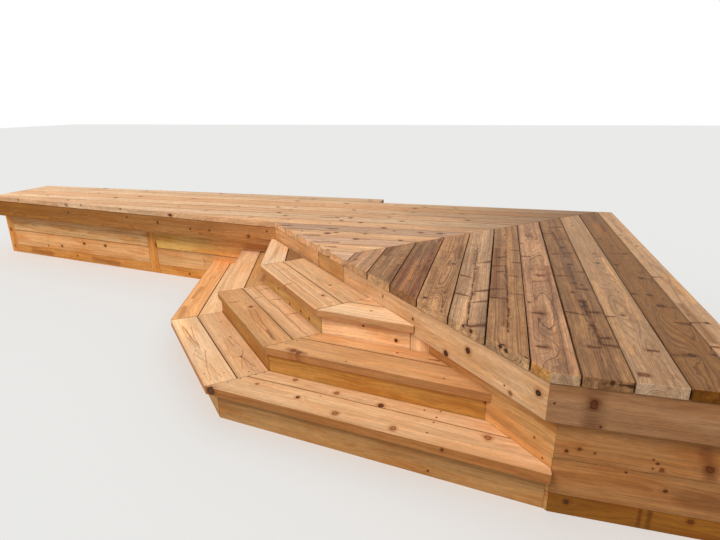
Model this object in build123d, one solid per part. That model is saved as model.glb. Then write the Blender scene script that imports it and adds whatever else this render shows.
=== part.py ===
from build123d import *
import os
from math import cos, radians, sin

# Wooden deck with wrap-around stairs in its corner, in millimetres.
# In plan X runs along the house wall, Y runs towards it, and Z is up from the ground.
# The plan is drawn from the deck's front corner; save() moves it to the middle of the footprint.

# Lumber
board_width = 139.7
board_thickness = 38.0
post_size = 89.0
trim_width = 89.0

# Heights above the ground
bottom_rise = 175.0
step_rise = 125.0
step_count = 3

# Deck outline in plan, from the front corner; the wing's front edge starts on a gap between boards
deck_gap = 6.0
mitre_gap = 2.0
paired_boards = 10
corner_boards_count = 4
diagonal_length = 2389.0
first_gap_x = -931.0
side_board_width = 96.0
left_end_x = -4715.0
left_front_angle = 7.6
notch_x = -1137.0

# Fascia and skirt
fascia_setback = 3.0
fascia_joint_right = 1360.0
fascia_joint_left = 1676.0
skirt_drop = 12.0
skirt_setback_front = 30.0
skirt_setback_diagonal = 51.0
skirt_setback_left = 75.0
skirt_setback_end = 5.0
skirt_gap = 2.0
trim_distance = 1763.0

# Steps, from the lowest up: corners of each nosing along the diagonal edge, the left ones from
# the wing corner and the right ones from the front corner
bottom_left_inset = 472.0
middle_left_inset = 502.0
top_left_inset = 517.0
bottom_right_inset = 1103.0
middle_right_inset = 1087.0
top_right_inset = 1090.0
top_nosing_out = 290.0
bottom_overhang = 50.0
middle_overhang = 18.0
top_overhang = 28.0
side_angle_left = 108.7
side_angle_right = -8.0
tread_gap = 6.0
back_gap = 4.0

# Framing
joist_spacing = 406.0
stair_joists_middle = 3
joists_per_post_count = 3

tread_board_rows = 2
nosing_left_inset = (bottom_left_inset, middle_left_inset, top_left_inset)
nosing_right_inset = (bottom_right_inset, middle_right_inset, top_right_inset)
nosing_overhang = (bottom_overhang, middle_overhang, top_overhang)
tread_depth = tread_board_rows * board_width + (tread_board_rows - 1) * tread_gap
nosing_out = [top_nosing_out]
for overhang_above in nosing_overhang[:0:-1]:
    nosing_out.insert(0, nosing_out[0] + tread_depth + back_gap - overhang_above)
nosing_left_along = [diagonal_length - distance for distance in nosing_left_inset]
pitch = board_width + deck_gap
right_edge_x = first_gap_x + paired_boards * pitch + deck_gap + side_board_width
reach = 4 * (right_edge_x - left_end_x)
deck_top = bottom_rise + step_count * step_rise
joist_top = deck_top - board_thickness
fascia_foot = joist_top - board_width
skirt_top = fascia_foot - skirt_drop


def direction(angle):
    return Vector(cos(radians(angle)), sin(radians(angle)))


def left_of(way):
    return Vector(-way.Y, way.X)


def crossing(point_a, way_a, point_b, way_b):
    """Where two lines in plan cross, each given by a point and a direction."""
    apart = point_b - point_a
    turn = way_a.X * way_b.Y - way_a.Y * way_b.X
    along = (apart.X * way_b.Y - apart.Y * way_b.X) / turn
    return point_a + way_a * along


def inset(corners, distances):
    """A closed outline with each edge moved inwards by its own distance; corners run anticlockwise."""
    count = len(corners)
    edges = []
    for index in range(count):
        start = corners[index]
        way = (corners[(index + 1) % count] - start).normalized()
        edges.append((start + left_of(way) * distances[index], way))
    return [crossing(*edges[index - 1], *edges[index]) for index in range(count)]


def area(corners):
    return Polygon(*[(corner.X, corner.Y) for corner in corners], align=None)


def strip(point, way, near, far):
    """An endless band in plan beside a line, between two distances to the left of it."""
    side = left_of(way)
    ends = (point - way * reach, point + way * reach)
    return area([ends[0] + side * near, ends[1] + side * near, ends[1] + side * far, ends[0] + side * far])


def boards(shape, foot, height):
    """The upright solids over a shape in plan, one for each separate area."""
    return [extrude(face, amount=height, dir=(0, 0, 1)).moved(Location((0, 0, foot))) for face in shape.faces()]


# Deck outline, anticlockwise from the left end's front corner
diagonal_way = direction(-45.0)
mitre_way = direction(45.0)
front_corner = Vector(0, 0)
wing_corner = front_corner - diagonal_way * diagonal_length
left_front_way = direction(-left_front_angle)
left_front_corner = crossing(wing_corner, left_front_way, Vector(left_end_x, 0), Vector(0, 1))
first_gap_mitre_y = wing_corner.Y - corner_boards_count * pitch
back_right_y = first_gap_mitre_y + paired_boards * pitch
back_left_y = back_right_y + pitch
deck_outline = [
    left_front_corner,
    wing_corner,
    front_corner,
    Vector(right_edge_x, 0),
    Vector(right_edge_x, back_right_y),
    Vector(notch_x, back_right_y),
    Vector(notch_x, back_left_y),
    Vector(left_end_x, back_left_y),
]
LEFT_FRONT, DIAGONAL, FRONT, RIGHT, BACK_RIGHT, NOTCH, BACK_LEFT, LEFT_END = range(8)

fascia_steps = [fascia_setback] * 3 + [0.0] * 4 + [fascia_setback]
fascia_outer = inset(deck_outline, fascia_steps)
fascia_inner = inset(fascia_outer, [board_thickness] * 8)
skirt_steps = [skirt_setback_left, skirt_setback_diagonal, skirt_setback_front, 0.0, 0.0, 0.0, 0.0, skirt_setback_end]
skirt_outer = inset(fascia_outer, skirt_steps)
skirt_depths = [board_thickness] * 3 + [0.0] * 4 + [board_thickness]
skirt_inner = inset(skirt_outer, skirt_depths)


def edge_board(outer, inner, edge):
    """The plan of the board along one edge of the outline, mitred to its neighbours."""
    following = (edge + 1) % len(outer)
    return area([outer[edge], outer[following], inner[following], inner[edge]])


def deck_boards():
    mitre_point = Vector(first_gap_x, first_gap_mitre_y)
    left_side = area(deck_outline) & strip(mitre_point, mitre_way, mitre_gap / 2, reach)
    right_side = area(deck_outline) & strip(mitre_point, mitre_way, -reach, -mitre_gap / 2)
    across = Vector(1, 0)
    along = Vector(0, 1)
    long_boards = []
    corner_boards = []
    right_boards = []
    for index in range(1, paired_boards + 2):
        low = Vector(0, first_gap_mitre_y + (index - 1) * pitch)
        shape = left_side & strip(low, across, deck_gap / 2, pitch - deck_gap / 2)
        home = corner_boards if index <= corner_boards_count else long_boards
        home.extend(boards(shape, joist_top, board_thickness))
    first_board = area(deck_outline) & strip(mitre_point, across, deck_gap / 2 - pitch, -deck_gap / 2)
    first_board = first_board & strip(mitre_point, along, deck_gap / 2, pitch)
    corner_boards.extend(boards(first_board, joist_top, board_thickness))
    for index in range(paired_boards + 1):
        low = Vector(first_gap_x + index * pitch, 0)
        side = right_side if index < paired_boards else area(deck_outline)
        shape = side & strip(low, along, deck_gap / 2 - pitch, -deck_gap / 2)
        right_boards.extend(boards(shape, joist_top, board_thickness))
    return {
        "deck_boards_left": long_boards,
        "deck_boards_corner": corner_boards,
        "deck_boards_right": right_boards,
    }


def fascias():
    names = {
        "fascia_left": LEFT_FRONT,
        "fascia_front": FRONT,
        "fascia_left_end": LEFT_END,
        "ledger_side": RIGHT,
        "ledger_back_right": BACK_RIGHT,
        "ledger_notch": NOTCH,
        "ledger_back_left": BACK_LEFT,
    }
    nodes = {}
    for name, edge in names.items():
        nodes[name] = boards(edge_board(fascia_outer, fascia_inner, edge), fascia_foot, board_width)
    nodes["fascia_diagonal"] = []
    joints = (-reach, fascia_joint_right, fascia_joint_left, reach)
    for start, stop in zip(joints, joints[1:]):
        piece = strip(front_corner, mitre_way, start + mitre_gap / 2, stop - mitre_gap / 2)
        shape = edge_board(fascia_outer, fascia_inner, DIAGONAL) & piece
        nodes["fascia_diagonal"].extend(boards(shape, fascia_foot, board_width))
    return nodes


def rows(shape):
    """Boards stacked from below the fascia down; the lowest one is ripped to reach the ground."""
    solids = []
    top = skirt_top
    while top > 0:
        foot = max(top - board_width, 0.0)
        if foot < skirt_gap:
            foot = 0.0
        solids.extend(boards(shape, foot, top - foot))
        top = foot - skirt_gap
    return solids


def skirts():
    corner = skirt_outer[LEFT_FRONT]
    square = left_of(left_front_way)
    left_run = edge_board(skirt_outer, skirt_inner, LEFT_FRONT)
    half_gap = skirt_gap / 2

    def stretch(start, stop):
        return left_run & strip(corner, square, -stop, -start)

    trims = boards(stretch(-reach, trim_width), 0, skirt_top)
    trims += boards(stretch(trim_distance, trim_distance + trim_width), 0, skirt_top)
    return {
        "skirt_left_end": rows(edge_board(skirt_outer, skirt_inner, LEFT_END)),
        "skirt_left_outer": rows(stretch(trim_width + half_gap, trim_distance - half_gap)),
        "skirt_left_inner": rows(stretch(trim_distance + trim_width + skirt_gap, reach)),
        "skirt_diagonal": rows(edge_board(skirt_outer, skirt_inner, DIAGONAL)),
        "skirt_front": rows(edge_board(skirt_outer, skirt_inner, FRONT)),
        "skirt_trims": trims,
    }


# Stairs: level 0 is the lowest step
def from_diagonal(along, out):
    """A plan point given along the diagonal edge from the front corner and straight out from it."""
    return front_corner - diagonal_way * along - mitre_way * out


left_way = direction(side_angle_left)
right_way = direction(side_angle_right)
wall_outline = [skirt_outer, skirt_outer, fascia_outer]
beside_front_skirt = strip(skirt_outer[FRONT], Vector(0, 1), mitre_gap / 2, reach)


def step_path(level, overhang, wall):
    """Four corners of a step's front in plan, from its left end on the deck to its right end."""
    left = from_diagonal(nosing_left_along[level], nosing_out[level] - overhang)
    right = from_diagonal(nosing_right_inset[level], nosing_out[level] - overhang)
    left_end = crossing(left, left_way, wall[LEFT_FRONT], left_front_way)
    right_end = crossing(right, right_way, wall[DIAGONAL], diagonal_way)
    return [left_end, left, right, right_end]


def tread_back(level):
    """Four corners of the line that a tread reaches back to: the next riser, or the deck's fascia."""
    if level + 1 < step_count:
        return step_path(level + 1, nosing_overhang[level + 1], wall_outline[level])
    left = from_diagonal(nosing_left_along[level], -fascia_setback)
    right = from_diagonal(nosing_right_inset[level], -fascia_setback)
    return [fascia_outer[DIAGONAL], left, right, None]


def treads(level):
    front = step_path(level, 0.0, wall_outline[level])
    back = tread_back(level)
    foot = bottom_rise + level * step_rise - board_thickness
    half = mitre_gap / 2
    left = inset([front[0], front[1], back[1], back[0]], [0.0, half, back_gap, 0.0])
    middle = inset([front[1], front[2], back[2], back[1]], [0.0, half, back_gap, half])
    if back[3] is None:
        right = inset([front[2], front[3], back[2]], [0.0, back_gap, half])
    else:
        right = inset([front[2], front[3], back[3], back[2]], [0.0, 0.0, back_gap, half])
    sections = zip(("left", "middle", "right"), (left, middle, right), front, front[1:])
    solids = {}
    for side, corners, start, stop in sections:
        way = (stop - start).normalized()
        section = area(corners) & beside_front_skirt
        solids[side] = []
        for row in range(tread_board_rows + 1):
            near = row * (board_width + tread_gap)
            shape = section & strip(start, way, near, near + board_width)
            if shape:
                solids[side].extend(boards(shape, foot, board_thickness))
    return solids


def riser_heights(level):
    """Foot and height of a step's frame, which stands on the frame below it."""
    if level == 0:
        return 0.0, bottom_rise - board_thickness
    return bottom_rise - board_thickness + (level - 1) * step_rise, step_rise


def riser_corners(level, wall):
    """Outer and inner corners of a step's three risers in plan, from wall to wall."""
    outer = step_path(level, nosing_overhang[level], wall)
    ways = [(stop - start).normalized() for start, stop in zip(outer, outer[1:])]
    lines = [(start + left_of(way) * board_thickness, way) for start, way in zip(outer, ways)]
    inner = [
        crossing(*lines[0], wall[LEFT_FRONT], left_front_way),
        crossing(*lines[0], *lines[1]),
        crossing(*lines[1], *lines[2]),
        crossing(*lines[2], wall[DIAGONAL], diagonal_way),
    ]
    return outer, inner


def risers(level):
    foot, height = riser_heights(level)
    wall = wall_outline[level]
    outer, inner = riser_corners(level, wall)
    solids = {}
    joint = mitre_gap / 2
    for index, side in enumerate(("left", "middle", "right")):
        corners = [outer[index], outer[index + 1], inner[index + 1], inner[index]]
        shape = (area(inset(corners, [0.0, joint, 0.0, joint])) & beside_front_skirt) - area(wall)
        solids[side] = boards(shape, foot, height)
    if wall is fascia_outer:
        longer_outer, longer_inner = riser_corners(level, skirt_outer)
        under_fascia = area(inset(fascia_outer, [mitre_gap] * len(fascia_outer))) - area(skirt_outer)
        for index, side in ((0, "left"), (2, "right")):
            corners = [*longer_outer[index:index + 2], longer_inner[index + 1], longer_inner[index]]
            solids[side].extend(boards(area(corners) & under_fascia, foot, fascia_foot - foot))
    bay = area(inner + [wall[DIAGONAL]])
    spacing = (nosing_left_along[level] - nosing_right_inset[level]) / (stair_joists_middle - 1)
    joists = []
    for index in range(-stair_joists_middle, 2 * stair_joists_middle):
        centre = from_diagonal(nosing_right_inset[level] + index * spacing, 0.0)
        shape = bay & strip(centre, mitre_way, -board_thickness / 2, board_thickness / 2)
        if shape:
            joists.extend(boards(shape, foot, height))
    return solids, joists


def stairs():
    nodes = {}
    for level, name in enumerate(("bottom", "middle", "top")):
        for side, solids in treads(level).items():
            nodes[f"{name}_tread_{side}"] = solids
        front, joists = risers(level)
        for side, solids in front.items():
            nodes[f"{name}_riser_{side}"] = solids
        nodes[f"{name}_step_joists"] = joists
    return nodes


def post(point, way):
    """A post from the ground to the joists, its face against a board that runs through the point."""
    half = way * (post_size / 2)
    depth = left_of(way) * post_size
    corners = [point - half, point + half, point + half + depth, point - half + depth]
    return boards(area(corners), 0, fascia_foot)


def posts(left_joist_x, right_joist_y, beam_point):
    """Posts under the mitre beam and every few joists, behind the skirts and below the ledgers."""
    to_house = Vector(0, 1)
    to_right = Vector(1, 0)
    front_posts = []
    back_posts = []
    side_posts = []
    for x in left_joist_x[::joists_per_post_count]:
        if x < wing_corner.X:
            meeting = crossing(Vector(x, 0), to_house, skirt_inner[LEFT_FRONT], left_front_way)
            front_posts.extend(post(meeting, left_front_way))
        back_edge = BACK_RIGHT if x > notch_x else BACK_LEFT
        back_posts.extend(post(Vector(x, fascia_inner[back_edge].Y), -to_right))
    beam_front = crossing(beam_point, mitre_way, skirt_inner[DIAGONAL], diagonal_way)
    front_posts.extend(post(beam_front, diagonal_way))
    for y in right_joist_y[::joists_per_post_count]:
        if y < beam_front.Y:
            meeting = crossing(Vector(0, y), to_right, skirt_inner[DIAGONAL], diagonal_way)
            front_posts.extend(post(meeting, diagonal_way))
        side_posts.extend(post(Vector(fascia_inner[RIGHT].X, y), to_house))
    side_posts.extend(post(Vector(right_edge_x, skirt_inner[FRONT].Y + post_size / 2), to_house))
    back_posts.extend(post(Vector(skirt_inner[LEFT_FRONT].X + post_size / 2, back_left_y), -to_right))
    return {"posts_front": front_posts, "posts_back": back_posts, "posts_side": side_posts}


def framing():
    beam_point = Vector(first_gap_x, first_gap_mitre_y)
    inside = area(fascia_inner)
    beam = inside & strip(beam_point, mitre_way, -post_size / 2, post_size / 2)
    left_bay = inside & strip(beam_point, mitre_way, post_size / 2, reach)
    right_bay = inside & strip(beam_point, mitre_way, -reach, -post_size / 2)
    beam_end_x = first_gap_x + back_right_y - board_thickness - first_gap_mitre_y
    joists_to_left = int((beam_end_x - left_end_x) / joist_spacing)
    joists_to_right = int((back_right_y - board_thickness) / joist_spacing)
    left_joist_x = [left_end_x + (index + 1) * joist_spacing for index in range(joists_to_left)]
    right_joist_y = [(index + 1) * joist_spacing for index in range(joists_to_right)]
    half = board_thickness / 2
    left_joists = []
    right_joists = []
    for x in left_joist_x:
        shape = left_bay & strip(Vector(x, 0), Vector(0, 1), -half, half)
        left_joists.extend(boards(shape, fascia_foot, board_width))
    for y in right_joist_y:
        shape = right_bay & strip(Vector(0, y), Vector(1, 0), -half, half)
        right_joists.extend(boards(shape, fascia_foot, board_width))
    return {
        "mitre_beam": boards(beam, fascia_foot, board_width),
        "joists_left": left_joists,
        "joists_right": right_joists,
        **posts(left_joist_x, right_joist_y, beam_point),
    }


def save(nodes):
    os.makedirs("parts", exist_ok=True)
    middle = Location((-(left_end_x + right_edge_x) / 2, -back_left_y / 2, 0))
    for name, solids in nodes.items():
        moved = [solid.moved(middle) for piece in solids for solid in piece.solids()]
        export_step(Compound(children=moved), f"parts/{name}.step")


nodes = {**deck_boards(), **fascias(), **skirts(), **stairs(), **framing()}
save(nodes)
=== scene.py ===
import random
from dataclasses import dataclass
from math import cos, pi, radians, sin

import bmesh
import bpy
from mathutils import Matrix, Vector


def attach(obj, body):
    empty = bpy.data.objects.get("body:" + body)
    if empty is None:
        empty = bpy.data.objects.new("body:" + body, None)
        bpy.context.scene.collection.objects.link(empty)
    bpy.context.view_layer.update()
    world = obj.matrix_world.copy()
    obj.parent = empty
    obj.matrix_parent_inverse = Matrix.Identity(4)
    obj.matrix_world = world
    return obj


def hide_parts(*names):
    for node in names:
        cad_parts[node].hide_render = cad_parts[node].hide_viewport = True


# Wooden deck with three steps in its corner. Each board of the frame gets eased edges, its own
# grain and its own tone. Sizes are in metres, in the frame's own axes.

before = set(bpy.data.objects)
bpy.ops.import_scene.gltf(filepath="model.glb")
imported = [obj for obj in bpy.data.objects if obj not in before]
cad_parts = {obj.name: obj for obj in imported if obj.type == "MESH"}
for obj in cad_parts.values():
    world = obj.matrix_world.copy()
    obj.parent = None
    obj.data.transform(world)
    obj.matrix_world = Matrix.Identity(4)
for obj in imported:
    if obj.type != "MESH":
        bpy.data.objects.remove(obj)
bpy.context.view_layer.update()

UP = Vector((0, 0, 1))

# Lumber
long_edge_radius = 0.0042
cut_edge_radius = 0.0012
edge_segments = 3
bow_cuts = 5
bow_most = 0.0011
shortest_bowed_board = 0.5

# Figure of the wood: waves per metre along the grain, across it and upwards
drift_waves = (1.9, 7.0, 7.0)
ring_waves = (6.0, 40.0, 40.0)
fibre_waves = (9.0, 420.0, 420.0)
streak_waves = (1.3, 46.0, 46.0)
cloud_waves = (3.2, 14.0, 3.0)
mottle_waves = (26.0, 75.0, 75.0)
fleck_waves = (38.0, 230.0, 230.0)
crack_waves = (14, 3, 1)

# Saw scratches on the cut ends: waves per metre to the right, to the back and upwards
saw_waves = (70, 70, 380)

# Where, from the middle of a board's face, it starts and stops to turn darker near its edge
edge_shade_span = (0.058, 0.069)

# How far each board's own number moves its strewn knots and its broad patches
knot_shift = (3.7, 9.1, 5.3)
cloud_shift = (3, 7, 5)

# Knots and rings
knot_wobble = (0.010, 0.007, 0.007)
pins_per_metre = 21.0
pin_radii = (0.0012, 0.0030)
knots_per_metre = 10.0
knot_radii = (0.0045, 0.0115)
strewn_knot_squash = 0.62
smallest_swirling_knot = 0.0045
swirl_push = 0.013
oval_push = 0.034
ring_wave_depth = 0.0035
line_sway = (0.02, 0.022, 0)

# How far the grain swirls round a knot, along and across the board, in radii of the knot
swirl_reach = (1 / 0.30, 1 / 0.62)

# Tints of the marks
bloom_tint = (1.38, 1.30, 1.12)
# The stain tint also darkens the painted shadow lines along the fascia tops
stain_or_shadow_tint = (0.50, 0.41, 0.37)
branch_tint = (0.62, 0.55, 0.50)
pale_heart_tint = (0.80, 0.72, 0.64)

# Surface
relief_depth = 0.0012
relief_strength = 0.4
cut_roughness = 0.92
cut_gloss = 0.1
end_level = 0.8

# Nail heads
nail_radius = 0.0038
nail_height = 0.0016
nail_edge_radius = 0.0005
nail_sides = 16
steel_dark = (0.10, 0.075, 0.06, 1)
steel_light = (0.22, 0.17, 0.13, 1)

# Floor and light
floor_size = 60
floor_seen = (0.80, 0.80, 0.79, 1)
floor_dimmed = (0.34, 0.34, 0.34, 1)
sky_colour = (0.97, 0.985, 1.0, 1)
sky_strength = 0.5
backdrop_colour = (1, 1, 1, 1)
sun_colour = (1.0, 0.985, 0.96)
sun_strength = 2.2
sun_width = radians(35)
sun_place = (-3, -3, 5)
sun_way = Vector((0.52, 0.54, -0.92))

# The photograph's view, fitted to the board lines
camera_place = (1.84584, -2.80782, 1.33299)
camera_pan = radians(-15.5388)
camera_tilt = radians(18.4124)
camera_roll = radians(-0.5462)
camera_lens = 25.0276
camera_sensor_width = 36
camera_far_clip = 200


# Selecting, editing and joining, as by hand
def select_only(pieces):
    """Makes these objects the only selected ones, and the first of them the active one."""
    bpy.ops.object.select_all(action="DESELECT")
    for piece in pieces:
        piece.select_set(True)
    bpy.context.view_layer.objects.active = pieces[0]


def edit(piece):
    select_only([piece])
    bpy.ops.object.mode_set(mode="EDIT")
    bpy.ops.mesh.select_all(action="DESELECT")


def done():
    bpy.ops.object.mode_set(mode="OBJECT")


def join_as(name, pieces):
    """Makes one named object of several."""
    select_only(pieces)
    if len(pieces) > 1:
        bpy.ops.object.join()
    whole = bpy.context.view_layer.objects.active
    whole.name = name
    whole.data.name = name
    return whole


def split_boards(node):
    """Copies of a node's boards, one object each, with merged corners and whole flat faces."""
    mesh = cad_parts[node].data.copy()
    copy = bpy.data.objects.new(f"{node}_boards", mesh)
    bpy.context.scene.collection.objects.link(copy)
    edit(copy)
    bpy.ops.mesh.select_all(action="SELECT")
    bpy.ops.mesh.remove_doubles(threshold=0.00002)
    bpy.ops.mesh.dissolve_limited(angle_limit=radians(1))
    bpy.ops.mesh.separate(type="LOOSE")
    done()
    parts = list(bpy.context.selected_objects)
    for part in parts:
        part.data.materials.clear()
    return parts


def edge_way(mesh, edge):
    first, second = (mesh.vertices[index].co for index in edge.vertices)
    return second - first


class Board:
    """One board: where it lies, which way its grain runs, and how wide and thick it is."""

    def __init__(self, piece):
        self.piece = piece
        corners = [vertex.co.copy() for vertex in piece.data.vertices]
        self.along = self.grain_way()
        level_across = UP.cross(self.along)
        if level_across.length < 0.5:
            level_across = self.longest_level_way()
        level_across.normalize()
        if level_across.x + level_across.y < 0:
            level_across = -level_across
        upright = UP if abs(self.along.z) < 0.5 else self.along.cross(level_across)
        spans = [self.span(corners, way) for way in (level_across, upright)]
        lies_flat = spans[0][1] - spans[0][0] > spans[1][1] - spans[1][0]
        self.across = level_across if lies_flat else UP
        self.depth = upright if lies_flat else -level_across
        self.start, self.end = self.span(corners, self.along)
        self.near, self.far = self.span(corners, self.across)
        self.low, self.high = self.span(corners, self.depth)
        self.length = self.end - self.start
        self.middle = (self.near + self.far) / 2

    def span(self, corners, way):
        places = [corner.dot(way) for corner in corners]
        return min(places), max(places)

    def grain_way(self):
        """The direction in which the board has the most edge length, pointing right or back."""
        mesh = self.piece.data
        totals = []
        for edge in mesh.edges:
            way = edge_way(mesh, edge)
            length = way.length
            way.normalize()
            for entry in totals:
                if abs(entry[0].dot(way)) > 0.9999:
                    entry[1] += length
                    break
            else:
                totals.append([way, length])
        way = max(totals, key=lambda entry: entry[1])[0]
        if abs(way.z) > 0.9:
            return UP.copy()
        way.z = 0
        way.normalize()
        return -way if way.x < -0.01 or (abs(way.x) <= 0.01 and way.y < 0) else way

    def longest_level_way(self):
        mesh = self.piece.data
        ways = [edge_way(mesh, edge) for edge in mesh.edges]
        return max((way for way in ways if abs(way.z) < 0.001), key=lambda way: way.length).normalized()


def ease_edges(board):
    """Rounds the long edges of a board and breaks the sharp corners of its cut ends."""
    edit(board.piece)
    mesh = bmesh.from_edit_mesh(board.piece.data)
    for edge in mesh.edges:
        way = (edge.verts[1].co - edge.verts[0].co).normalized()
        edge.select = abs(way.dot(board.along)) > 0.9999
    mesh.select_flush_mode()
    bmesh.update_edit_mesh(board.piece.data)
    bpy.ops.mesh.bevel(offset=long_edge_radius, segments=edge_segments, profile=0.5, clamp_overlap=True)
    bpy.ops.mesh.select_all(action="DESELECT")
    mesh = bmesh.from_edit_mesh(board.piece.data)
    mesh.normal_update()
    for edge in mesh.edges:
        on_ends = [abs(face.normal.dot(board.along)) > 0.3 for face in edge.link_faces]
        edge.select = any(on_ends) and not all(on_ends)
    bmesh.update_edit_mesh(board.piece.data)
    bpy.ops.mesh.bevel(offset=cut_edge_radius, segments=1, profile=0.5, clamp_overlap=True)
    done()


def bow(board, dice):
    """Bends a long flat board sideways by about a millimetre, as sawn lumber is never quite straight."""
    if board.length < shortest_bowed_board or board.across.z > 0.5:
        return
    edit(board.piece)
    for index in range(1, bow_cuts + 1):
        place = board.along * (board.start + board.length * index / (bow_cuts + 1))
        bpy.ops.mesh.select_all(action="SELECT")
        bpy.ops.mesh.bisect(plane_co=place, plane_no=board.along)
    done()
    swing = dice.uniform(-bow_most, bow_most)
    for vertex in board.piece.data.vertices:
        share = (vertex.co.dot(board.along) - board.start) / board.length
        vertex.co += board.across * swing * sin(pi * min(max(share, 0), 1))


class Material:
    """Builds the nodes of one material."""

    def __init__(self, name):
        self.material = bpy.data.materials.new(name)
        self.material.use_nodes = True
        self.tree = self.material.node_tree
        self.tree.nodes.clear()

    def node(self, kind, **settings):
        made = self.tree.nodes.new(kind)
        for key, value in settings.items():
            setattr(made, key, value)
        return made

    def feed(self, socket, value):
        if isinstance(value, bpy.types.NodeSocket):
            self.tree.links.new(value, socket)
        elif value is not None:
            socket.default_value = value

    def attribute(self, name):
        return self.node("ShaderNodeAttribute", attribute_name=name)

    def math(self, operation, first, second=None, third=None, clamp=False):
        made = self.node("ShaderNodeMath", operation=operation, use_clamp=clamp)
        for socket, value in zip(made.inputs, (first, second, third)):
            self.feed(socket, value)
        return made.outputs[0]

    def fold(self, operation, values):
        """Takes many values together, such as their product or the smallest of them."""
        whole = values[0]
        for value in values[1:]:
            whole = self.math(operation, whole, value)
        return whole

    def vector(self, operation, first, second=None, third=None, scale=None):
        made = self.node("ShaderNodeVectorMath", operation=operation)
        for socket, value in zip(made.inputs, (first, second, third)):
            self.feed(socket, value)
        if scale is not None:
            self.feed(made.inputs["Scale"], scale)
        return made.outputs["Value" if operation in ("LENGTH", "DISTANCE", "DOT_PRODUCT") else "Vector"]

    def noise(self, vector, scale=1.0, detail=2.0, roughness=0.5, output="Fac"):
        made = self.node("ShaderNodeTexNoise")
        self.feed(made.inputs["Vector"], vector)
        made.inputs["Scale"].default_value = scale
        made.inputs["Detail"].default_value = detail
        made.inputs["Roughness"].default_value = roughness
        return made.outputs[output]

    def waves(self, place, per_metre, detail=2.0, roughness=0.5, output="Fac"):
        """Noise with a number of waves per metre of its own on each axis."""
        return self.noise(self.vector("MULTIPLY", place, per_metre), 1, detail, roughness, output)

    def around_zero(self, noise):
        return self.vector("SUBTRACT", noise, (0.5, 0.5, 0.5))

    def split(self, vector):
        made = self.node("ShaderNodeSeparateXYZ")
        self.feed(made.inputs[0], vector)
        return made.outputs

    def join(self, x, y, z=0.0):
        made = self.node("ShaderNodeCombineXYZ")
        for socket, value in zip(made.inputs, (x, y, z)):
            self.feed(socket, value)
        return made.outputs[0]

    def slope(self, value, low, high, start=0.0, stop=1.0):
        """A smooth step from start to stop while the value goes from low to high."""
        made = self.node("ShaderNodeMapRange", interpolation_type="SMOOTHSTEP")
        for socket, entry in zip(made.inputs, (value, low, high, start, stop)):
            self.feed(socket, entry)
        return made.outputs[0]

    def blend(self, share, first, second, way="MIX"):
        made = self.node("ShaderNodeMix", data_type="RGBA", blend_type=way, clamp_factor=True)
        self.feed(made.inputs[0], share)
        self.feed(made.inputs[6], first)
        self.feed(made.inputs[7], second)
        return made.outputs[2]

    def tinted(self, colour, tint):
        return self.blend(1.0, colour, (*tint, 1), "MULTIPLY")

    def cover(self, shader):
        """Makes a shader the surface of the material."""
        output = self.node("ShaderNodeOutputMaterial")
        self.feed(output.inputs["Surface"], shader.outputs["BSDF"])


@dataclass
class Mark:
    """A mark on a board: the ends of its middle line and its half width at both.

    The ends are metres along the board from its start, across from its middle and above its face."""

    kind: str
    first: Vector
    last: Vector
    thin: float
    thick: float


def even_mark(kind, along, across, to_along, to_across, width):
    """A mark on the face that is equally wide all along."""
    return Mark(kind, Vector((along, across, 0)), Vector((to_along, to_across, 0)), width / 2, width / 2)


def knot(along, across, radius=0.008):
    """A round knot on the face."""
    return even_mark("knot", along, across, along, across, 2 * radius)


def pale_knot(along, across, radius=0.008, tall=0.0):
    """A knot with a thin dark rim round a heart that is only a little browner than the wood.

    Where its branch grew aslant, it is as much longer across the board as tall says."""
    return even_mark("pale_knot", along, across - tall / 2, along, across + tall / 2, 2 * radius)


def edge_knot(along, across, below, radius=0.008):
    """A knot that shows on the narrow side of a board, some way below its face."""
    place = Vector((along, across, -below))
    return Mark("edge_knot", place, place, radius, radius)


def branch(along, across, to_along, to_across, width=0.015):
    """A knot that was sawn lengthwise: a slim brown streak, thin at the pith and wide outside."""
    ends = Vector((along, across, 0)), Vector((to_along, to_across, 0))
    return Mark("branch", *ends, width * 0.24, width * 0.66)


def edge_branch(across, below, to_across, to_below):
    """A knot sawn lengthwise that shows on a board's cut end, from its thin pith outwards."""
    ends = Vector((0, across, -below)), Vector((0, to_across, -to_below))
    return Mark("edge_knot", *ends, 0.001, 0.005)


def crack(along, across, to_along, to_across, width=0.005):
    """A drying crack along the grain."""
    return even_mark("crack", along, across, to_along, to_across, width)


def line(along, across, to_along, to_across, width=0.004):
    """A thin brown line, where one dark ring meets the face."""
    return even_mark("line", along, across, to_along, to_across, width)


def stain_or_shadow(along, across, to_along, to_across, width=0.04):
    """A soft brown smear in the wood. Along the top edge of a fascia board it is a painted shadow line,
    where the deck boards' edge shades it.
    """
    return even_mark("stain_or_shadow", along, across, to_along, to_across, width)


def bloom(along, across, to_along, to_across, width=0.04):
    """A soft pale place, where the light sapwood shows."""
    return even_mark("bloom", along, across, to_along, to_across, width)


@dataclass
class Finish:
    """What all boards of one batch share.

    late, patch, heart, rim and halo are tints of the dark rings, the broad patches and the parts
    of a knot. streak and flecks say how uneven the wood is. knots, between and pins are the shares
    of strewn knots on plain boards, of strewn knots on boards with marks, and of pin knots."""

    slot: str
    late: tuple
    patch: tuple
    patch_most: float
    heart: tuple
    rim: tuple
    halo: tuple
    streak: float
    flecks: float
    knots: float
    between: float
    pins: float
    gloss: float


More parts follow.
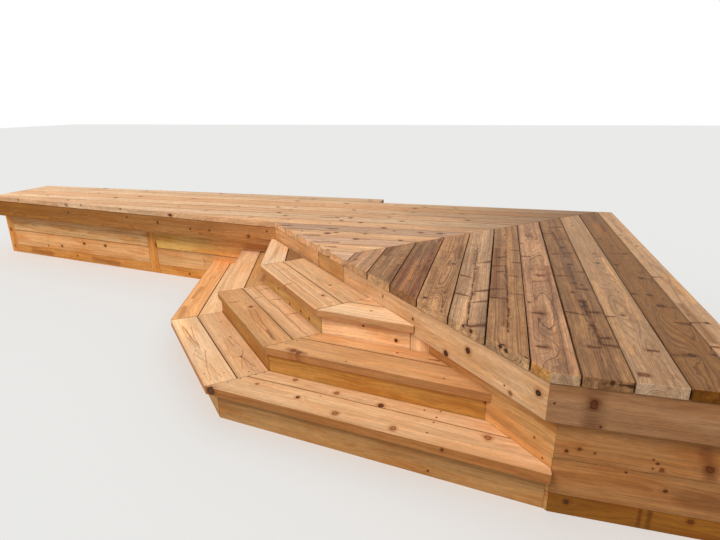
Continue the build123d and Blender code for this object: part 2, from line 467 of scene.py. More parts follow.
class Cedar(Material):
    """Cedar with growth rings round the pith, fibres, knots and broad changes of tone.

    Each board's mesh holds these attributes. grain: metres along, across and above the pith.
    face: metres along, across and above the board's face. figure: the ring width in metres, how
    dark the rings are and how far they wander in metres. own: a number of its own for each board.
    shade: the board's colour."""

    def __init__(self, name, finish, marks=(), swirls=(), cut=False):
        super().__init__(name)
        self.finish = finish
        self.marks = marks
        self.grain = self.attribute("grain").outputs["Vector"]
        self.face = self.attribute("face").outputs["Vector"]
        self.shade = self.attribute("shade").outputs["Color"]
        self.own = self.attribute("own").outputs["Fac"]
        figure = self.attribute("figure").outputs["Vector"]
        self.ring_width, self.contrast, self.wander = self.split(figure)
        wobble = self.around_zero(self.noise(self.face, 50, output="Color"))
        self.solid = self.vector("MULTIPLY_ADD", wobble, knot_wobble, self.face)
        self.flat = self.vector("MULTIPLY", self.solid, (1, 1, 0))
        self.place_knots()
        self.grow_rings(swirls)
        self.tone()
        self.soft_marks()
        self.branches()
        self.lines_and_cracks()
        self.knots_on_top()
        if cut:
            self.saw_scratches()
        self.surface(cut)

    def mark_distance(self, mark, place):
        """How far a place lies from a mark's middle line, in half widths of the mark."""
        if mark.first == mark.last:
            return self.math("DIVIDE", self.vector("DISTANCE", place, mark.first), mark.thin)
        reach = mark.last - mark.first
        offset = self.vector("SUBTRACT", place, mark.first)
        passed = self.vector("DOT_PRODUCT", offset, reach / reach.length_squared)
        share = self.math("ADD", passed, 0.0, clamp=True)
        beside = self.vector("SUBTRACT", offset, self.vector("SCALE", reach, scale=share))
        half = self.math("MULTIPLY_ADD", share, mark.thick - mark.thin, mark.thin)
        return self.math("DIVIDE", self.vector("LENGTH", beside), half)

    def nearest_mark(self, kind, place=None):
        """How far a place on the face lies from the nearest mark of a kind, None if there is none."""
        place = self.flat if place is None else place
        distances = [self.mark_distance(mark, place) for mark in self.marks if mark.kind == kind]
        return self.fold("MINIMUM", distances) if distances else None

    def oval_distance(self, along, across, half_length, half_width):
        offset = self.vector("SUBTRACT", self.flat, (along, across, 0))
        return self.vector("LENGTH", self.vector("MULTIPLY", offset, (1 / half_length, 1 / half_width, 0)))

    def strewn_knots(self, place, per_metre, share, radii):
        """Distance, in knot radii, to knots that are strewn through the board by chance."""
        cells = self.node("ShaderNodeTexVoronoi", voronoi_dimensions="3D")
        moved = self.vector("ADD", place, self.vector("SCALE", knot_shift, scale=self.own))
        self.feed(cells.inputs["Vector"], moved)
        cells.inputs["Scale"].default_value = per_metre
        chance = self.split(cells.outputs["Color"])
        radius = self.slope(chance[1], 0.0, 1.0, *(radius * per_metre for radius in radii))
        kept = self.math("GREATER_THAN", chance[0], 1 - share)
        radius = self.math("MAXIMUM", self.math("MULTIPLY", radius, kept), 0.0005)
        return self.math("DIVIDE", cells.outputs["Distance"], radius)

    def place_knots(self):
        """Puts the known and the strewn knots on the board, and the swirl of the grain round them."""
        known = [mark for mark in self.marks if "knot" in mark.kind]
        distances = [self.strewn_knots(self.solid, pins_per_metre, self.finish.pins, pin_radii)]
        share = self.finish.between if known else self.finish.knots
        if share > 0:
            slender = self.vector("MULTIPLY", self.solid, (strewn_knot_squash, 1, 1))
            distances.append(self.strewn_knots(slender, knots_per_metre, share, knot_radii))
        for mark in known:
            place = self.solid if mark.kind == "edge_knot" else self.flat
            distances.append(self.mark_distance(mark, place))
        self.knot_distance = self.fold("MINIMUM", distances)
        swirling = [
            self.oval_distance(*mark.first.xy, *(mark.thin * reach for reach in swirl_reach))
            for mark in known if mark.kind != "edge_knot" and mark.thin > smallest_swirling_knot
        ]
        if swirling:
            distance = self.fold("MINIMUM", swirling)
        else:
            distance = self.math("MULTIPLY", self.knot_distance, 0.5)
        fading = self.math("MULTIPLY", self.math("POWER", distance, 1.5), -1.0)
        self.swirl = self.math("EXPONENT", fading)

    def grow_rings(self, swirls):
        """Counts the rings outwards from the pith and shades the dark late wood of each."""
        slow = self.around_zero(self.waves(self.grain, drift_waves, 1.5, output="Color"))
        drift = self.vector("SCALE", slow, scale=self.wander)
        self.bent = self.vector("ADD", self.grain, drift)
        from_pith = self.vector("LENGTH", self.vector("MULTIPLY", self.bent, (0, 1, 1)))
        fine = self.waves(self.grain, ring_waves)
        wavy = self.math("MULTIPLY_ADD", fine, ring_wave_depth, from_pith)
        pushed = self.math("MULTIPLY_ADD", self.swirl, swirl_push, wavy)
        if swirls:
            oval = self.fold("MINIMUM", [self.oval_distance(*swirl) for swirl in swirls])
            pushed = self.math("ADD", pushed, self.slope(oval, 2.2, 0.0, 0.0, oval_push))
        rings = self.math("DIVIDE", pushed, self.ring_width)
        uneven = self.noise(self.join(rings, self.own), 0.31, 0)
        count = self.math("MULTIPLY_ADD", uneven, 2.2, rings)
        phase = self.math("FRACT", count)
        strength = self.noise(self.join(self.math("FLOOR", count), self.own), 3.7, 0)
        self.bands = self.noise(self.join(self.math("MULTIPLY", count, 0.17), self.own), 1.0, 1)
        self.late = self.fold("MULTIPLY", [
            self.slope(phase, 0.3, 0.86),
            self.slope(phase, 1.0, 0.93),
            self.slope(strength, 0.3, 0.65, 0.25, 1.0),
            self.slope(self.bands, 0.3, 0.7, 0.5, 1.2),
        ])

    def tone(self):
        """Lays fibres, streaks, broad patches and the dark rings over the board's own shade."""
        finish = self.finish
        self.threads = self.waves(self.grain, fibre_waves, 2, 0.6)
        self.streaks = self.waves(self.bent, streak_waves, 3, 0.65)
        apart = self.vector("SCALE", cloud_shift, scale=self.own)
        clouds = self.noise(self.vector("MULTIPLY_ADD", self.face, cloud_waves, apart))
        patchy = self.slope(clouds, 0.38, 0.68, 0.0, finish.patch_most)
        base = self.blend(patchy, self.shade, self.tinted(self.shade, finish.patch))
        from_middle = self.math("ABSOLUTE", self.split(self.face)[1])
        mottle = self.waves(self.grain, mottle_waves, 2, 0.6)
        flecks = self.waves(self.grain, fleck_waves, 1)
        bright = self.fold("MULTIPLY", [
            self.slope(self.threads, 0.25, 0.75, 0.90, 1.10),
            self.slope(self.streaks, 0.34, 0.66, 1 - finish.streak, 1 + finish.streak),
            self.slope(self.bands, 0.3, 0.7, 1 + finish.streak * 0.6, 1 - finish.streak * 0.6),
            self.slope(from_middle, *edge_shade_span, 1.0, 0.90),
            self.slope(mottle, 0.34, 0.66, 1 - finish.flecks * 0.4, 1 + finish.flecks * 0.4),
            self.slope(flecks, 0.58, 0.72, 1.0, 1 - finish.flecks),
        ])
        base = self.vector("SCALE", base, scale=bright)
        darkness = self.math("MULTIPLY", self.late, self.contrast)
        self.colour = self.blend(darkness, base, self.tinted(base, finish.late))

    def lay(self, share, colour):
        """Lays a colour over the wood."""
        self.colour = self.blend(share, self.colour, colour)

    def soft_marks(self):
        grainy = self.slope(self.streaks, 0.36, 0.60, 0.45, 1.0)
        # Blooms and stains are laid softly over the wood, and so are the painted shadow lines along the
        # fascia tops.
        for kind, tint in (("bloom", bloom_tint), ("stain_or_shadow", stain_or_shadow_tint)):
            distance = self.nearest_mark(kind)
            if distance is not None:
                soft = self.math("MULTIPLY", self.slope(distance, 1.5, 0.1, 0.0, 0.9), grainy)
                self.lay(soft, self.tinted(self.colour, tint))
        self.stained = self.tinted(self.colour, self.finish.halo)
        self.rim = (*self.finish.rim, 1)

    def branches(self):
        distance = self.nearest_mark("branch")
        if distance is None:
            return
        self.lay(self.slope(distance, 3.0, 0.8, 0.0, 0.85), self.stained)
        self.lay(self.slope(distance, 1.15, 0.7, 0.0, 0.8), self.tinted(self.stained, branch_tint))
        self.lay(self.slope(distance, 0.5, 0.15, 0.0, 0.75), self.rim)

    def lines_and_cracks(self):
        if not any(mark.kind in ("line", "crack") for mark in self.marks):
            return
        sway = self.around_zero(self.noise(self.face, 11, output="Color"))
        swaying = self.vector("MULTIPLY_ADD", sway, line_sway, self.flat)
        distance = self.nearest_mark("line", swaying)
        if distance is not None:
            self.lay(self.slope(distance, 1.7, 0.5, 0.0, 0.9), self.tinted(self.colour, self.finish.late))
        distance = self.nearest_mark("crack", swaying)
        if distance is not None:
            gaping = self.slope(self.waves(self.face, crack_waves, 1), 0.36, 0.56, 0.25, 1.0)
            self.lay(self.math("MULTIPLY", self.slope(distance, 4.5, 0.8, 0.0, 0.8), gaping), self.stained)
            self.lay(self.math("MULTIPLY", self.slope(distance, 1.3, 0.5, 0.0, 0.9), gaping), self.rim)

    def knots_on_top(self):
        """Gives each knot a darker halo, a dark rim and a brown heart with rings of its own."""
        distance = self.knot_distance
        halo = self.tinted(self.colour, self.finish.halo)
        self.lay(self.slope(distance, 2.6, 0.9, 0.0, 0.75), halo)
        self.eye = self.slope(distance, 1.12, 0.92)
        waves = self.math("PINGPONG", self.math("MULTIPLY", distance, 3.4), 1.0)
        heart = self.blend(self.slope(distance, 0.45, 0.9), (*self.finish.heart, 1), self.rim)
        heart = self.blend(self.slope(waves, 0.2, 0.9, 0.0, 0.4), heart, self.rim)
        pale_heart = self.nearest_mark("pale_knot")
        if pale_heart is not None:
            brown = self.tinted(self.stained, pale_heart_tint)
            heart = self.blend(self.slope(pale_heart, 1.0, 0.65), heart, brown)
        self.lay(self.eye, heart)

    def saw_scratches(self):
        """Roughens the colour of wood that was cut across the grain."""
        place = self.node("ShaderNodeTexCoord").outputs["Object"]
        scratch = self.waves(place, saw_waves, 3, 0.7)
        blotch = self.noise(place, 26, 3, 0.65)
        self.colour = self.vector("SCALE", self.colour, scale=self.slope(scratch, 0.3, 0.75, 0.84, 1.14))
        self.colour = self.vector("SCALE", self.colour, scale=self.slope(blotch, 0.32, 0.68, 0.74, 1.18))

    def surface(self, cut):
        shader = self.node("ShaderNodeBsdfPrincipled")
        shader.inputs["Specular IOR Level"].default_value = cut_gloss if cut else self.finish.gloss
        roughness = cut_roughness
        if not cut:
            rough = self.slope(self.streaks, 0.25, 0.75, 0.58, 0.74)
            roughness = self.math("MULTIPLY_ADD", self.late, -0.08, rough)
        self.feed(shader.inputs["Roughness"], roughness)
        self.feed(shader.inputs["Base Color"], self.colour)
        ridges = self.math("MULTIPLY", self.late, 0.5)
        height = self.math("ADD", ridges, self.math("MULTIPLY", self.threads, 0.5))
        height = self.math("SUBTRACT", height, self.math("MULTIPLY", self.eye, 0.7))
        relief = self.node("ShaderNodeBump")
        relief.inputs["Strength"].default_value = relief_strength
        relief.inputs["Distance"].default_value = relief_depth
        self.feed(relief.inputs["Height"], height)
        self.feed(shader.inputs["Normal"], relief.outputs["Normal"])
        self.cover(shader)


def srgb(red, green, blue):
    """A colour given as it looks on a screen, 0 to 255, in the scene's linear light."""
    return Vector([((part / 255 + 0.055) / 1.055) ** 2.4 for part in (red, green, blue)])


# Shades of the boards, as they look on a screen
SHADES = {
    "cream": srgb(250, 206, 156),
    "straw": srgb(242, 200, 156),
    "honey": srgb(234, 184, 136),
    "rose_straw": srgb(216, 174, 139),
    "wheat": srgb(224, 178, 132),
    "apricot": srgb(246, 182, 120),
    "amber": srgb(214, 160, 108),
    "ginger": srgb(200, 148, 92),
    "marigold": srgb(236, 162, 84),
    "toffee": srgb(194, 131, 72),
    "peach": srgb(255, 198, 135),
    "corn": srgb(255, 199, 106),
    "gold": srgb(255, 178, 84),
    "hay": srgb(201, 157, 94),
    "butterscotch": srgb(196, 141, 70),
    "russet": srgb(186, 130, 78),
    "moss_brown": srgb(174, 123, 62),
    "rose_brown": srgb(176, 129, 90),
    "rust": srgb(162, 103, 35),
    "tan": srgb(188, 148, 111),
    "driftwood": srgb(180, 136, 100),
    "bark": srgb(164, 121, 82),
    "rose_bark": srgb(172, 117, 78),
    "brown_bark": srgb(142, 101, 62),
    "chalk": srgb(198, 166, 136),
    "cut_tan": srgb(200, 159, 116),
    "resin": srgb(205, 153, 88),
    "ochre": srgb(126, 80, 26),
    "timber": srgb(206, 168, 120),
}


class Look:
    """How one board looks: the shades of its face, edges and ends, and how it was sawn.

    Its face turns to the far shade towards its far end, and from the start of the painted shade on it
    also darkens to the level of the painted shade: painted shade over its far end."""

    def __init__(
        self, face, level=1.0, far=None, far_level=1.0, edge=None, end=None, mitre=None,
        ring=0.005, contrast=0.6, wander=0.05, pith=None, dusk=(0.9, 1.0),
    ):
        self.face = SHADES[face] * level
        self.edge = SHADES[edge] if edge else self.face
        self.end = SHADES[end] if end else self.face * end_level
        self.mitre = SHADES[mitre] if mitre else self.end
        far_face = SHADES[far or face] * level * far_level
        self.far_tint = Vector([there / here for there, here in zip(far_face, self.face)])
        self.dusk_start, self.painted_shade_level = dusk
        self.ring = ring
        self.contrast = contrast
        self.wander = wander
        self.pith = pith

    def tint_at(self, share):
        """How the shade changes on the way to the far end, given as a share of the length."""
        # Past the start of the painted shade, the face darkens further: painted shade.
        late = max(0.0, (share - self.dusk_start) / (1 - self.dusk_start))
        dusk = 1 - (1 - self.painted_shade_level) * late
        return dusk * Vector((1, 1, 1)).lerp(self.far_tint, share)


ATTRIBUTES = {
    "grain": ("FLOAT_VECTOR", "POINT"),
    "face": ("FLOAT_VECTOR", "POINT"),
    "figure": ("FLOAT_VECTOR", "POINT"),
    "own": ("FLOAT", "POINT"),
    "shade": ("FLOAT_COLOR", "CORNER"),
}


def paint(board, look, dice):
    """Writes the grain, the place on the face, the figure and the shade into a board's mesh."""
    mesh = board.piece.data
    own = dice.random()
    shift = dice.uniform(0, 40)
    beside, below = look.pith or (dice.uniform(-0.05, 0.05), dice.uniform(0.035, 0.09))
    for name, kind_and_place in ATTRIBUTES.items():
        mesh.attributes.new(name, *kind_and_place)
    grain, face, figure, number, tone = (mesh.attributes[name] for name in ATTRIBUTES)
    for index, vertex in enumerate(mesh.vertices):
        along = vertex.co.dot(board.along)
        across = vertex.co.dot(board.across) - board.middle
        depth = vertex.co.dot(board.depth) - board.high
        grain.data[index].vector = (along + shift, across - beside, depth + below)
        face.data[index].vector = (along - board.start, across, depth)
        number.data[index].value = own
        figure.data[index].vector = (look.ring, look.contrast, look.wander)
    for polygon in mesh.polygons:
        squareness = abs(polygon.normal.dot(board.along))
        if squareness > 0.5:
            shade = look.end if squareness > 0.9 else look.mitre
        else:
            # The sides take the edge shade; on the treads it is darker, painted shade on the nosing fronts.
            shade = look.edge.lerp(look.face, abs(polygon.normal.dot(board.depth)))
        for corner in polygon.loop_indices:
            place = mesh.vertices[mesh.loops[corner].vertex_index].co
            share = (place.dot(board.along) - board.start) / board.length
            tone.data[corner].color = (*(shade * look.tint_at(share)), 1.0)


def set_faces(board, long_grain, end_grain):
    """Puts the end-grain finish on the faces that are cut across the grain, and rounds only edges."""
    mesh = board.piece.data
    mesh.materials.append(long_grain)
    mesh.materials.append(end_grain)
    for polygon in mesh.polygons:
        squareness = max(abs(polygon.normal.dot(way)) for way in (board.along, board.across, board.depth))
        is_end = abs(polygon.normal.dot(board.along)) > 0.5
        polygon.material_index = int(is_end)
        polygon.use_smooth = squareness < 0.999 and not is_end


def of_board(table, node, index):
    return table.get(node, {}).get(index)


def finish_of(node):
    for start, finish in FINISHES.items():
        if node.startswith(start):
            return finish
    return framing


def finish_node(node):
    """Replaces a node by its boards with eased edges, each with its own grain and tone."""
    dice = random.Random(node)
    finish = finish_of(node)
    looks = LOOKS.get(node, PLAIN_LOOKS)
    boards = [Board(piece) for piece in split_boards(node)]
    boards.sort(key=lambda board: (round(board.near + board.far, 3), round(board.start, 3)))
    for index, board in enumerate(boards):
        look = looks[index % len(looks)]
        ease_edges(board)
        bow(board, dice)
        paint(board, look, dice)
        long_grain, cut_grain = faces[finish.slot], end_grain
        end_marks = of_board(END_MARKS, node, index)
        if end_marks:
            cut_grain = Cedar(f"{node}_{index}_end", finish, end_marks, cut=True).material
        marks = of_board(MARKS, node, index)
        if marks:
            own_finish = of_board(BOARD_FINISHES, node, index) or finish
            swirls = of_board(SWIRLS, node, index) or ()
            long_grain = Cedar(f"{node}_{index}_cedar", own_finish, marks, swirls).material
        set_faces(board, long_grain, cut_grain)
    piece = join_as(f"{node}_wood", [board.piece for board in boards])
    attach(piece, "root")
    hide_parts(node)
    return boards


# The batches of cedar. The deck boards on the right are an older, darker batch.
weathered = Finish(
    "deck_cedar", late=(0.42, 0.32, 0.26), patch=(0.80, 0.74, 0.72), patch_most=0.85,
    heart=(0.10, 0.045, 0.022), rim=(0.035, 0.015, 0.008), halo=(0.60, 0.48, 0.40),
    streak=0.24, flecks=0.30, knots=0.5, between=0.0, pins=0.2, gloss=0.15,
)
smooth_weathered = Finish(
    "deck_cedar", late=(0.52, 0.41, 0.33), patch=(0.90, 0.83, 0.76), patch_most=0.7,
    heart=(0.10, 0.045, 0.022), rim=(0.035, 0.015, 0.008), halo=(0.60, 0.48, 0.40),
    streak=0.13, flecks=0.20, knots=0.5, between=0.0, pins=0.2, gloss=0.15,
)
light_deck = Finish(
    "deck_cedar", late=(0.58, 0.42, 0.32), patch=(0.88, 0.80, 0.76), patch_most=0.8,
    heart=(0.12, 0.050, 0.022), rim=(0.050, 0.020, 0.010), halo=(0.56, 0.41, 0.32),
    streak=0.12, flecks=0.22, knots=0.95, between=0.7, pins=0.35, gloss=0.2,
)
tread = Finish(
    "tread_cedar", late=(0.62, 0.43, 0.30), patch=(0.94, 0.81, 0.67), patch_most=0.7,
    heart=(0.15, 0.055, 0.022), rim=(0.045, 0.016, 0.008), halo=(0.70, 0.50, 0.36),
    streak=0.11, flecks=0.12, knots=0.3, between=0.0, pins=0.2, gloss=0.22,
)
fascia = Finish(
    "fascia_cedar", late=(0.58, 0.42, 0.30), patch=(0.86, 0.74, 0.58), patch_most=0.8,
    heart=(0.085, 0.032, 0.014), rim=(0.030, 0.012, 0.006), halo=(0.62, 0.44, 0.33),
    streak=0.13, flecks=0.14, knots=0.3, between=0.0, pins=0.2, gloss=0.12,
)
skirt = Finish(
    "skirt_cedar", late=(0.58, 0.40, 0.27), patch=(0.88, 0.70, 0.50), patch_most=0.85,
    heart=(0.11, 0.040, 0.016), rim=(0.036, 0.014, 0.007), halo=(0.64, 0.45, 0.33),
    streak=0.13, flecks=0.14, knots=0.35, between=0.0, pins=0.2, gloss=0.14,
)
framing = Finish(
    "framing_timber", late=(0.64, 0.50, 0.38), patch=(0.92, 0.88, 0.80), patch_most=0.5,
    heart=(0.14, 0.060, 0.028), rim=(0.050, 0.022, 0.011), halo=(0.7, 0.56, 0.44),
    streak=0.10, flecks=0.12, knots=0.5, between=0.0, pins=0.1, gloss=0.2,
)

PLAIN_FINISHES = (light_deck, tread, fascia, skirt, framing)

# The batch that each node's boards come from, told by how its name starts. The rest is framing.
FINISHES = {
    "deck_boards_right": weathered,
    "deck_boards": light_deck,
    "bottom_tread": tread,
    "middle_tread": tread,
    "top_tread": tread,
    "fascia": fascia,
    "skirt": skirt,
    "bottom_riser": skirt,
    "middle_riser": skirt,
    "top_riser": skirt,
}

# Boards that are smoother than the rest of their batch
BOARD_FINISHES = {"deck_boards_right": dict.fromkeys((8, 9, 10), smooth_weathered)}

# One look for each board, from the front of the deck or from its left, and from the bottom up
LOOKS = {
    "deck_boards_right": [
        Look("driftwood", 1.20, end="cut_tan", ring=0.0045, contrast=0.5),
        Look("bark", 1.04, end="cut_tan", ring=0.0045, wander=0.04),
        Look(
            "rose_bark", 0.98, far="bark", far_level=0.96, end="bark", ring=0.0045, contrast=1.1,
            wander=0.04,
        ),
        Look("bark", 1.32, end="cut_tan", ring=0.0060, contrast=1.0, pith=(0.01, 0.035)),
        Look("tan", end="cut_tan", ring=0.0080, contrast=0.8, wander=0.02, pith=(0.0, 0.004)),
        Look("bark", 1.07, end="cut_tan", ring=0.0070, contrast=0.8, wander=0.02, pith=(0.0, 0.004)),
        Look(
            "driftwood", 1.04, end="chalk", mitre="resin", ring=0.0052, contrast=0.9, wander=0.03,
            pith=(0.0, 0.03),
        ),
        Look("bark", 0.91, far_level=0.85, end="bark", ring=0.0060, contrast=0.7, pith=(0.01, 0.02)),
        Look("tan", 0.90, end="chalk", ring=0.0055, contrast=0.7, wander=0.04, pith=(-0.01, 0.04)),
        Look("brown_bark", far_level=0.9, end="ochre", contrast=1.0, pith=(0.02, 0.03)),
        Look("tan", 1.04, end="chalk", ring=0.0055, contrast=0.5, pith=(0.0, 0.05)),
    ],
    "deck_boards_corner": [
        Look("rose_straw", 1.06, mitre="wheat", contrast=0.5),
        Look("honey", 0.98, mitre="wheat", contrast=0.5),
        Look("rose_straw", 0.98, mitre="honey", contrast=0.5),
        Look("honey", 0.91, mitre="wheat", contrast=0.5),
        Look("rose_straw", 0.77, mitre="honey"),
    ],
    # The left deck boards darken and turn browner towards their far ends: painted shade, the deck's far
    # corner lying in shade.
    "deck_boards_left": [
        Look("honey", 1.05, far_level=0.70, contrast=0.5, dusk=(5 / 6, 0.80)),
        Look("straw", 1.04, far_level=0.68, contrast=0.5, dusk=(5 / 6, 0.70)),
        Look("honey", 1.05, far_level=0.68, contrast=0.5, dusk=(5 / 6, 0.58)),
        Look("straw", 1.06, far="wheat", far_level=0.80, contrast=0.5, dusk=(2 / 3, 0.46)),
        Look("honey", 1.08, far="amber", far_level=0.86, contrast=0.5, dusk=(2 / 3, 0.43)),
        Look("straw", 1.04, far="wheat", far_level=0.83, contrast=0.5, dusk=(2 / 3, 0.42)),
        Look("straw", far_level=0.68, contrast=0.5),
    ],
    # The treads' edge shades are darker than their faces: painted shade on the fronts of the nosings.
    "bottom_tread_left": [
        Look("apricot", 1.06, edge="toffee", contrast=0.5),
        Look("cream", edge="toffee", contrast=0.5),
    ],
    "bottom_tread_middle": [
        Look("straw", edge="toffee", ring=0.0045, contrast=0.5),
        Look("wheat", 1.04, edge="toffee", contrast=0.5),
    ],
    "bottom_tread_right": [
        Look("wheat", 1.02, edge="toffee", contrast=0.45, wander=0.03),
        Look("wheat", 1.02, edge="toffee", contrast=0.45, wander=0.03),
    ],
    "middle_tread_left": [
        Look("honey", 1.06, edge="moss_brown", contrast=0.45),
        Look("ginger", 1.05, edge="moss_brown", contrast=0.5),
    ],
    "middle_tread_middle": [
        Look("amber", 0.96, edge="moss_brown", contrast=0.5),
        Look("wheat", 1.02, edge="moss_brown", ring=0.007, contrast=0.45, wander=0.02, pith=(0.0, 0.006)),
    ],
    "middle_tread_right": [
        Look("amber", edge="russet", far_level=1.04, contrast=0.4),
        Look("amber", 1.10, edge="russet", contrast=0.4),
    ],
    "top_tread_left": [
        Look("straw", 0.97, edge="toffee", contrast=0.5), Look("brown_bark", 1.15, edge="toffee"),
    ],
    "top_tread_middle": [
        Look("wheat", 1.08, edge="russet", ring=0.007, contrast=0.5, wander=0.02, pith=(-0.014, 0.006)),
        Look("wheat", 0.95, edge="russet"),
    ],
    "top_tread_right": [Look("straw", 1.03, edge="amber"), Look("honey", edge="amber")],
    "top_riser_left": [Look("toffee", 0.72)],
    "top_riser_middle": [Look("hay", contrast=0.4)],
    "top_riser_right": [Look("cream", 1.03)],
    "middle_riser_left": [Look("rust")],
    "middle_riser_middle": [Look("moss_brown")],
    "middle_riser_right": [Look("butterscotch", contrast=0.35)],
    "bottom_riser_left": [Look("ginger", 0.95)],
    "bottom_riser_middle": [Look("ginger", 0.95)],
    "bottom_riser_right": [Look("ginger", 0.95, contrast=0.35)],
    "fascia_left": [Look("rust", far="russet", far_level=1.1)],
    "fascia_left_end": [Look("rust")],
    "fascia_diagonal": [
        Look("amber", 0.98, contrast=0.35), Look("ginger", 0.92, contrast=0.4),
        Look("wheat", contrast=0.35),
    ],
    "fascia_front": [Look("rose_brown", 0.95, contrast=0.4)],
    "skirt_front": [
        Look("rust", 0.77, far_level=1.25, contrast=0.5),
        Look("russet", 1.06, far_level=0.85, contrast=0.4),
        Look("russet", 1.04, contrast=0.55),
    ],
    "skirt_diagonal": [
        Look("ginger", 1.05, contrast=0.4), Look("ginger", 1.1, contrast=0.4),
        Look("ginger", 1.1, contrast=0.4),
    ],
    # The outer skirt's top row has a paler shade, near the most that wood throws back, and the inner
    # skirt's two lower rows turn paler towards the steps: painted light, making up for the shade of the
    # fascia above and of the corner.
    "skirt_left_outer": [
        Look("marigold", 0.92), Look("apricot", 1.03, contrast=0.45), Look("peach", contrast=0.4),
    ],
    "skirt_left_inner": [
        Look("marigold", 0.97, far="gold"),
        Look("apricot", 0.94, far="peach", far_level=1.06, contrast=0.45),
        Look("corn", far="apricot", far_level=0.9, contrast=0.4),
    ],
    "skirt_left_end": [Look("marigold", 0.9)],
    "skirt_trims": [Look("marigold", 1.07)],
}
PLAIN_LOOKS = [Look("timber")]

